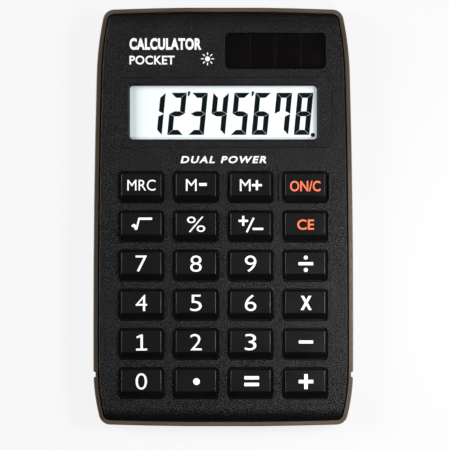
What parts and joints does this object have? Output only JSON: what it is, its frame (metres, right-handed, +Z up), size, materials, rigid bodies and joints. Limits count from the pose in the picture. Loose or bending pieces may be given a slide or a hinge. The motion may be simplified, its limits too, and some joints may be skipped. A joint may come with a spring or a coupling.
{
  "type": "pocket calculator",
  "caption": "Flat pocket calculator: a black front cover in a bronze rear shell, with a sunk display, a solar window and sprung rectangular keys.",
  "frame": {"origin": "middle of the underside", "axes": "+Z up through the keys, +Y towards the display end, +X to the user's right"},
  "size_m": [0.0728, 0.1172, 0.0105],
  "materials": {
    "front_shell": "fine grain, satin",
    "rear_shell": "fine grain, satin",
    "key_plastic": "satin",
    "key_print_white": "printed",
    "key_print_orange": "printed",
    "clear_window": "clear",
    "display_face": "satin",
    "display_segments": "satin",
    "display_glass": "clear",
    "reflector_foil": "satin",
    "ribbon_film": "gloss",
    "inner_plastic": "matt",
    "screw_steel": "zinc plated",
    "solar_glass": "gloss",
    "foam": "open cells",
    "lead_red": "gloss",
    "lead_black": "gloss",
    "cell_can": "satin",
    "contact_metal": "nickel plated",
    "board_laminate": "solder resist",
    "carbon": "printed carbon",
    "black_resin": "gloss",
    "capacitor_case": "moulded",
    "keypad_rubber": "matt silicone"
  },
  "bodies": {
    "case": {"rear_cover": "rear_shell", "front_cover": "front_shell", "case_screws": "screw_steel", "display_window": "clear_window", "front_polariser": "display_face", "front_glass": "display_glass", "rear_glass": "display_glass", "rear_reflector": "reflector_foil", "display_ribbon": "ribbon_film", "display_bracket": "inner_plastic", "bracket_screws": "screw_steel", "solar_cell": "solar_glass", "solar_foam_pad": "foam", "solar_lead_red": "lead_red", "solar_lead_black": "lead_black", "button_cell": "cell_can", "cell_holder": "inner_plastic", "cell_contact_plus": "contact_metal", "cell_contact_minus": "contact_metal", "cell_lead_red": "lead_red", "cell_lead_black": "lead_black", "main_board": "board_laminate", "contact_pads": "carbon", "controller_chip": "black_resin", "power_capacitor": "capacitor_case", "clamp_diode": "black_resin", "board_resistors": "black_resin", "rubber_keypad": "keypad_rubber", "carbon_pills": "carbon"},
    "key_mrc": {"key_mrc": "key_plastic"},
    "key_m_minus": {"key_m_minus": "key_plastic"},
    "key_m_plus": {"key_m_plus": "key_plastic"},
    "key_on_c": {"key_on_c": "key_plastic"},
    "key_square_root": {"key_square_root": "key_plastic"},
    "key_percent": {"key_percent": "key_plastic"},
    "key_plus_minus": {"key_plus_minus": "key_plastic"},
    "key_ce": {"key_ce": "key_plastic"},
    "key_7": {"key_7": "key_plastic"},
    "key_8": {"key_8": "key_plastic"},
    "key_9": {"key_9": "key_plastic"},
    "key_divide": {"key_divide": "key_plastic"},
    "key_4": {"key_4": "key_plastic"},
    "key_5": {"key_5": "key_plastic"},
    "key_6": {"key_6": "key_plastic"},
    "key_times": {"key_times": "key_plastic"},
    "key_1": {"key_1": "key_plastic"},
    "key_2": {"key_2": "key_plastic"},
    "key_3": {"key_3": "key_plastic"},
    "key_minus": {"key_minus": "key_plastic"},
    "key_0": {"key_0": "key_plastic"},
    "key_point": {"key_point": "key_plastic"},
    "key_equals": {"key_equals": "key_plastic"},
    "key_plus": {"key_plus": "key_plastic"}
  },
  "joints": [
    {"name": "key_mrc_press", "type": "slide", "parent": "case", "child": "key_mrc", "axis": [0, 0, -1], "range_m": [0, 0.001], "stiffness_N_per_m": 300, "deforming": ["rubber_keypad"]},
    {"name": "key_m_minus_press", "type": "slide", "parent": "case", "child": "key_m_minus", "axis": [0, 0, -1], "range_m": [0, 0.001], "stiffness_N_per_m": 300, "deforming": ["rubber_keypad"]},
    {"name": "key_m_plus_press", "type": "slide", "parent": "case", "child": "key_m_plus", "axis": [0, 0, -1], "range_m": [0, 0.001], "stiffness_N_per_m": 300, "deforming": ["rubber_keypad"]},
    {"name": "key_on_c_press", "type": "slide", "parent": "case", "child": "key_on_c", "axis": [0, 0, -1], "range_m": [0, 0.001], "stiffness_N_per_m": 300, "deforming": ["rubber_keypad"]},
    {"name": "key_square_root_press", "type": "slide", "parent": "case", "child": "key_square_root", "axis": [0, 0, -1], "range_m": [0, 0.001], "stiffness_N_per_m": 300, "deforming": ["rubber_keypad"]},
    {"name": "key_percent_press", "type": "slide", "parent": "case", "child": "key_percent", "axis": [0, 0, -1], "range_m": [0, 0.001], "stiffness_N_per_m": 300, "deforming": ["rubber_keypad"]},
    {"name": "key_plus_minus_press", "type": "slide", "parent": "case", "child": "key_plus_minus", "axis": [0, 0, -1], "range_m": [0, 0.001], "stiffness_N_per_m": 300, "deforming": ["rubber_keypad"]},
    {"name": "key_ce_press", "type": "slide", "parent": "case", "child": "key_ce", "axis": [0, 0, -1], "range_m": [0, 0.001], "stiffness_N_per_m": 300, "deforming": ["rubber_keypad"]},
    {"name": "key_7_press", "type": "slide", "parent": "case", "child": "key_7", "axis": [0, 0, -1], "range_m": [0, 0.001], "stiffness_N_per_m": 300, "deforming": ["rubber_keypad"]},
    {"name": "key_8_press", "type": "slide", "parent": "case", "child": "key_8", "axis": [0, 0, -1], "range_m": [0, 0.001], "stiffness_N_per_m": 300, "deforming": ["rubber_keypad"]},
    {"name": "key_9_press", "type": "slide", "parent": "case", "child": "key_9", "axis": [0, 0, -1], "range_m": [0, 0.001], "stiffness_N_per_m": 300, "deforming": ["rubber_keypad"]},
    {"name": "key_divide_press", "type": "slide", "parent": "case", "child": "key_divide", "axis": [0, 0, -1], "range_m": [0, 0.001], "stiffness_N_per_m": 300, "deforming": ["rubber_keypad"]},
    {"name": "key_4_press", "type": "slide", "parent": "case", "child": "key_4", "axis": [0, 0, -1], "range_m": [0, 0.001], "stiffness_N_per_m": 300, "deforming": ["rubber_keypad"]},
    {"name": "key_5_press", "type": "slide", "parent": "case", "child": "key_5", "axis": [0, 0, -1], "range_m": [0, 0.001], "stiffness_N_per_m": 300, "deforming": ["rubber_keypad"]},
    {"name": "key_6_press", "type": "slide", "parent": "case", "child": "key_6", "axis": [0, 0, -1], "range_m": [0, 0.001], "stiffness_N_per_m": 300, "deforming": ["rubber_keypad"]},
    {"name": "key_times_press", "type": "slide", "parent": "case", "child": "key_times", "axis": [0, 0, -1], "range_m": [0, 0.001], "stiffness_N_per_m": 300, "deforming": ["rubber_keypad"]},
    {"name": "key_1_press", "type": "slide", "parent": "case", "child": "key_1", "axis": [0, 0, -1], "range_m": [0, 0.001], "stiffness_N_per_m": 300, "deforming": ["rubber_keypad"]},
    {"name": "key_2_press", "type": "slide", "parent": "case", "child": "key_2", "axis": [0, 0, -1], "range_m": [0, 0.001], "stiffness_N_per_m": 300, "deforming": ["rubber_keypad"]},
    {"name": "key_3_press", "type": "slide", "parent": "case", "child": "key_3", "axis": [0, 0, -1], "range_m": [0, 0.001], "stiffness_N_per_m": 300, "deforming": ["rubber_keypad"]},
    {"name": "key_minus_press", "type": "slide", "parent": "case", "child": "key_minus", "axis": [0, 0, -1], "range_m": [0, 0.001], "stiffness_N_per_m": 300, "deforming": ["rubber_keypad"]},
    {"name": "key_0_press", "type": "slide", "parent": "case", "child": "key_0", "axis": [0, 0, -1], "range_m": [0, 0.001], "stiffness_N_per_m": 300, "deforming": ["rubber_keypad"]},
    {"name": "key_point_press", "type": "slide", "parent": "case", "child": "key_point", "axis": [0, 0, -1], "range_m": [0, 0.001], "stiffness_N_per_m": 300, "deforming": ["rubber_keypad"]},
    {"name": "key_equals_press", "type": "slide", "parent": "case", "child": "key_equals", "axis": [0, 0, -1], "range_m": [0, 0.001], "stiffness_N_per_m": 300, "deforming": ["rubber_keypad"]},
    {"name": "key_plus_press", "type": "slide", "parent": "case", "child": "key_plus", "axis": [0, 0, -1], "range_m": [0, 0.001], "stiffness_N_per_m": 300, "deforming": ["rubber_keypad"]}
  ]
}
